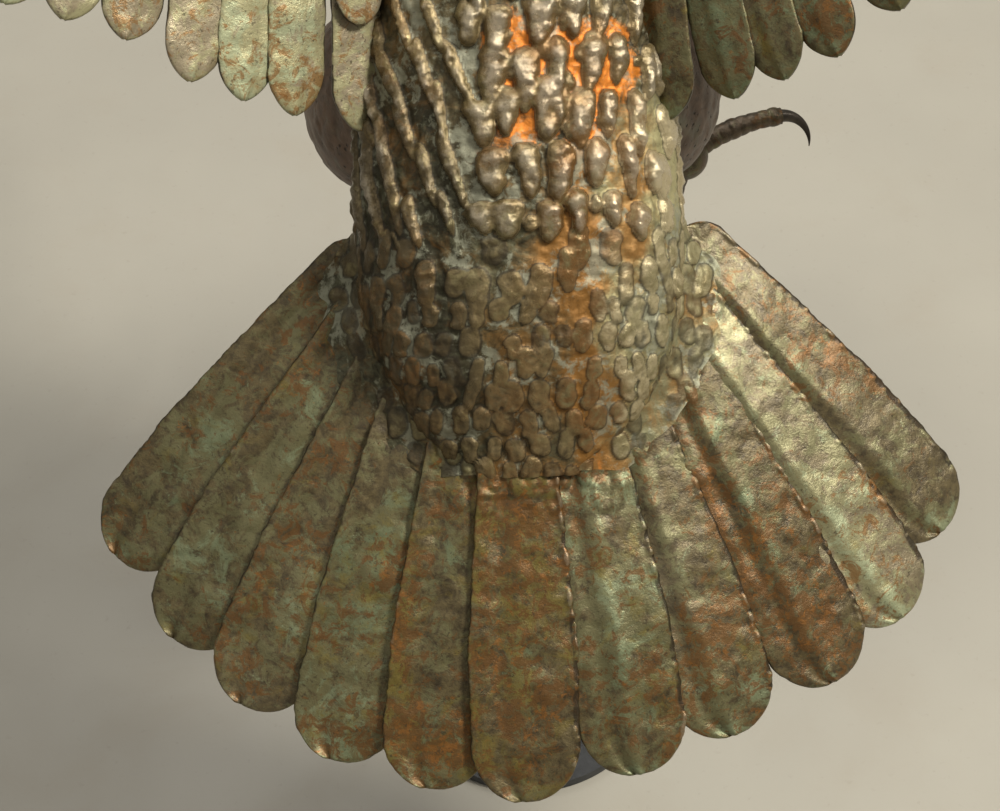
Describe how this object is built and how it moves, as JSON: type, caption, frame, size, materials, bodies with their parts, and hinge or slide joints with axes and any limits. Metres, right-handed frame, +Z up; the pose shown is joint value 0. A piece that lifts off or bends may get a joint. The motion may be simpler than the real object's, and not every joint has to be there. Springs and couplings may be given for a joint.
{
  "type": "weather vane",
  "caption": "Weather vane: a hollow copper eagle landing with spread wings and a fanned tail, turning on a flanged steel mast.",
  "frame": {"origin": "centre of the base flange's underside, on the mast's axis", "axes": "+Z up the mast; +Y the way the beak points at rest; +X towards the eagle's right wing"},
  "size_m": [1.6792, 0.7156, 1.0031],
  "materials": {
    "mast_paint": "satin black painted steel",
    "screw_steel": "zinc plated steel",
    "ground_steel": "ground steel",
    "frame_steel": "primed steel, brown",
    "bush_bronze": "plain bearing bronze",
    "mast_copper": "weathered copper sheet",
    "back_bronze": "copper covered in brazed bronze drips, grey-brown with bright crests",
    "body_copper": "copper and brazed bronze, brown and grey-green",
    "head_copper": "paler copper and bronze",
    "eye_bronze": "dark polished bronze",
    "beak_brass": "yellow bronze",
    "tail_copper": "copper sheet with verdigris, rust-orange and brown mottling",
    "wing_copper": "copper sheet with verdigris and brown mottling",
    "thigh_copper": "brown copper with small dark pits",
    "foot_bronze": "ringed bronze, olive and brown",
    "claw_bronze": "dark bronze"
  },
  "bodies": {
    "mast": {"base_flange": "mast_paint", "mast_socket": "mast_paint", "socket_screws": "screw_steel", "socket_gussets": "mast_paint", "mast_pipe": "mast_paint", "spindle": "ground_steel", "thrust_ball": "ground_steel"},
    "vane": {"back_shell": "back_bronze", "backbone": "frame_steel", "belly_shell": "body_copper", "eyes": "eye_bronze", "head_shell": "head_copper", "left_alula": "wing_copper", "left_claws": "claw_bronze", "left_greater_coverts": "wing_copper", "left_leg_bar": "frame_steel", "left_median_coverts": "wing_copper", "left_primaries": "wing_copper", "left_secondaries": "wing_copper", "left_shank": "foot_bronze", "left_thigh": "thigh_copper", "left_toes": "foot_bronze", "left_under_coverts": "wing_copper", "left_wing_arm": "body_copper", "left_wing_spar": "frame_steel", "lower_beak": "beak_brass", "lower_bush": "bush_bronze", "rain_skirt": "mast_copper", "right_alula": "wing_copper", "right_claws": "claw_bronze", "right_greater_coverts": "wing_copper", "right_leg_bar": "frame_steel", "right_median_coverts": "wing_copper", "right_primaries": "wing_copper", "right_secondaries": "wing_copper", "right_shank": "foot_bronze", "right_thigh": "thigh_copper", "right_toes": "foot_bronze", "right_under_coverts": "wing_copper", "right_wing_arm": "body_copper", "right_wing_spar": "frame_steel", "rotor_cap": "frame_steel", "rotor_tube": "frame_steel", "tail_feather_01": "tail_copper", "tail_feather_02": "tail_copper", "tail_feather_03": "tail_copper", "tail_feather_04": "tail_copper", "tail_feather_05": "tail_copper", "tail_feather_06": "tail_copper", "tail_feather_07": "tail_copper", "tail_feather_08": "tail_copper", "tail_feather_09": "tail_copper", "tail_feather_10": "tail_copper", "tail_feather_11": "tail_copper", "tail_root_plate": "frame_steel", "tail_strut": "frame_steel", "thrust_pad": "ground_steel", "upper_beak": "beak_brass", "upper_bush": "bush_bronze"}
  },
  "joints": [
    {"name": "vane_spin", "type": "hinge", "parent": "mast", "child": "vane", "pos_m": [0, 0, 0.38], "axis": [0, 0, 1], "continuous": true}
  ]
}
